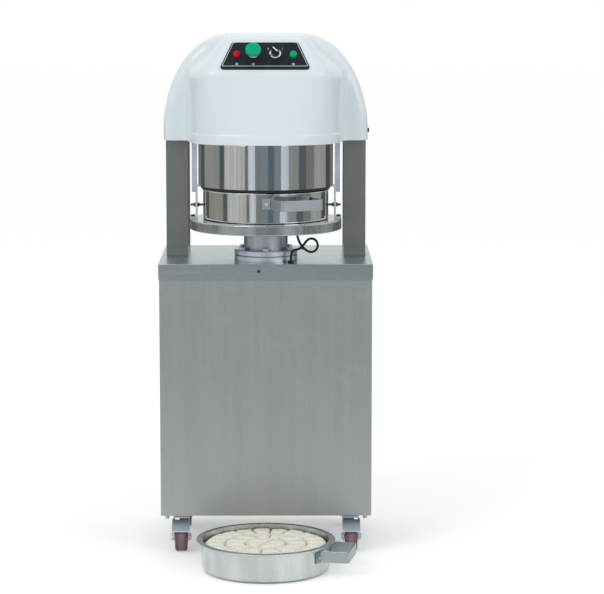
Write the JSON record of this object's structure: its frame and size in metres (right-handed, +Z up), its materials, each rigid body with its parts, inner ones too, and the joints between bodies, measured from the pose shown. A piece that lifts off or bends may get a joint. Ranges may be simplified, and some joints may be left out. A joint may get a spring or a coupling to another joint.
{
  "type": "dough divider",
  "caption": "Hydraulic dough divider: cabinet on casters, ram platform lifting a round pan into a knife grid and press under a white domed head, with a spare pan.",
  "frame": {"origin": "on the floor, under the middle of the cabinet's table lid", "axes": "+Z up, front faces -Y, +X to the right as seen from the front"},
  "size_m": [0.56, 0.789, 1.365],
  "materials": {
    "white_shell": "gloss moulded shell, cool white",
    "brushed_steel": "brushed stainless sheet",
    "polished_steel": "mirror polished stainless",
    "turned_steel": "turned steel with fine rings",
    "zinc_steel": "bright zinc plate",
    "pan_steel": "satin stainless, spun",
    "panel_dark": "dark printed panel",
    "green_plastic": "green button plastic",
    "red_lens": "red lamp lens",
    "green_lens": "green lamp lens",
    "black_plastic": "black moulded plastic",
    "pointer_white": "white pointer",
    "chrome": "bright chrome",
    "black_rubber": "black seal rubber",
    "wheel_tread": "maroon polyurethane tread",
    "painted_steel": "grey blue enamel",
    "motor_paint": "blue enamel",
    "alloy_block": "machined alloy",
    "cutter_plastic": "white food grade plastic",
    "dough": "soft floury dough"
  },
  "bodies": {
    "frame": {"base_frame": "painted_steel", "cabinet_shell": "brushed_steel", "cabinet_back_panel": "brushed_steel", "table_lid": "brushed_steel", "left_post": "brushed_steel", "right_post": "brushed_steel", "head_frame": "painted_steel", "head_bridge": "painted_steel", "guide_bars": "brushed_steel", "head_cover": "white_shell", "control_panel": "panel_dark", "start_collar": "chrome", "selector_bezel": "chrome", "red_lamp": "red_lens", "green_lamp": "green_lens", "lift_cylinder": "turned_steel", "gland_flange": "turned_steel", "gland_bolts": "zinc_steel", "oil_tank": "painted_steel", "hydraulic_pump": "alloy_block", "pump_motor": "motor_paint", "valve_block": "alloy_block", "hydraulic_hose": "black_rubber", "control_box": "painted_steel", "mains_gland": "black_plastic", "knife_grid": "polished_steel", "knife_hangers": "turned_steel", "press_cylinder": "turned_steel", "caster_plates": "zinc_steel", "cable_grommet": "black_rubber", "sensor_cable": "black_rubber"},
    "lift": {"ram": "turned_steel", "platform": "turned_steel", "pan_brackets": "polished_steel", "bracket_bolts": "zinc_steel", "adjusting_screws": "zinc_steel", "skirt": "polished_steel", "skirt_seal": "black_rubber"},
    "press": {"press_pads": "cutter_plastic", "press_carrier": "turned_steel"},
    "pan": {"dough_pan": "polished_steel", "pan_handle": "brushed_steel", "pan_rivets": "zinc_steel"},
    "spare_pan": {"spare_pan": "pan_steel", "spare_pan_handle": "brushed_steel", "spare_pan_rivets": "zinc_steel", "dough_portions": "dough"},
    "start_button": {"start_button": "green_plastic"},
    "power_knob": {"power_knob": "black_plastic", "knob_pointer": "pointer_white"},
    "fork_front_left": {"caster_fork_front_left": "zinc_steel"},
    "wheel_front_left": {"caster_wheel_front_left": "wheel_tread"},
    "pedal_front_left": {"brake_pedal_front_left": "zinc_steel"},
    "fork_front_right": {"caster_fork_front_right": "zinc_steel"},
    "wheel_front_right": {"caster_wheel_front_right": "wheel_tread"},
    "pedal_front_right": {"brake_pedal_front_right": "zinc_steel"},
    "fork_back_left": {"caster_fork_back_left": "zinc_steel"},
    "wheel_back_left": {"caster_wheel_back_left": "wheel_tread"},
    "fork_back_right": {"caster_fork_back_right": "zinc_steel"},
    "wheel_back_right": {"caster_wheel_back_right": "wheel_tread"}
  },
  "joints": [
    {"name": "platform_lift", "type": "slide", "parent": "frame", "child": "lift", "axis": [0, 0, 1], "range_m": [0, 0.08]},
    {"name": "press_retract", "type": "slide", "parent": "frame", "child": "press", "axis": [0, 0, 1], "range_m": [0, 0.06]},
    {"name": "pan_slide_out", "type": "slide", "parent": "lift", "child": "pan", "axis": [0, 1, 0], "range_m": [-0.4, 0]},
    {"name": "spare_pan_slide", "type": "slide", "parent": "frame", "child": "spare_pan", "axis": [0, 1, 0], "range_m": [-0.4, 0]},
    {"name": "start_push", "type": "slide", "parent": "frame", "child": "start_button", "axis": [0, 0.809, -0.5878], "range_m": [0, 0.004], "stiffness_N_per_m": 800, "springref_m": -0.002},
    {"name": "power_turn", "type": "hinge", "parent": "frame", "child": "power_knob", "pos_m": [0.026, -0.26943, 1.31607], "axis": [0, 0.809, -0.5878], "range_deg": [0, 90]},
    {"name": "swivel_front_left", "type": "hinge", "parent": "frame", "child": "fork_front_left", "pos_m": [-0.226, -0.145, 0.09], "axis": [0, 0, 1], "continuous": true},
    {"name": "wheel_spin_front_left", "type": "hinge", "parent": "fork_front_left", "child": "wheel_front_left", "pos_m": [-0.226, -0.17, 0.0375], "axis": [1, 0, 0], "continuous": true},
    {"name": "brake_press_front_left", "type": "hinge", "parent": "fork_front_left", "child": "pedal_front_left", "pos_m": [-0.226, -0.167, 0.08], "axis": [1, 0, 0], "range_deg": [0, 7.5]},
    {"name": "swivel_front_right", "type": "hinge", "parent": "frame", "child": "fork_front_right", "pos_m": [0.226, -0.145, 0.09], "axis": [0, 0, 1], "continuous": true},
    {"name": "wheel_spin_front_right", "type": "hinge", "parent": "fork_front_right", "child": "wheel_front_right", "pos_m": [0.226, -0.17, 0.0375], "axis": [1, 0, 0], "continuous": true},
    {"name": "brake_press_front_right", "type": "hinge", "parent": "fork_front_right", "child": "pedal_front_right", "pos_m": [0.226, -0.167, 0.08], "axis": [1, 0, 0], "range_deg": [0, 7.5]},
    {"name": "swivel_back_left", "type": "hinge", "parent": "frame", "child": "fork_back_left", "pos_m": [-0.226, 0.145, 0.09], "axis": [0, 0, 1], "continuous": true},
    {"name": "wheel_spin_back_left", "type": "hinge", "parent": "fork_back_left", "child": "wheel_back_left", "pos_m": [-0.226, 0.12, 0.0375], "axis": [1, 0, 0], "continuous": true},
    {"name": "swivel_back_right", "type": "hinge", "parent": "frame", "child": "fork_back_right", "pos_m": [0.226, 0.145, 0.09], "axis": [0, 0, 1], "continuous": true},
    {"name": "wheel_spin_back_right", "type": "hinge", "parent": "fork_back_right", "child": "wheel_back_right", "pos_m": [0.226, 0.12, 0.0375], "axis": [1, 0, 0], "continuous": true}
  ]
}
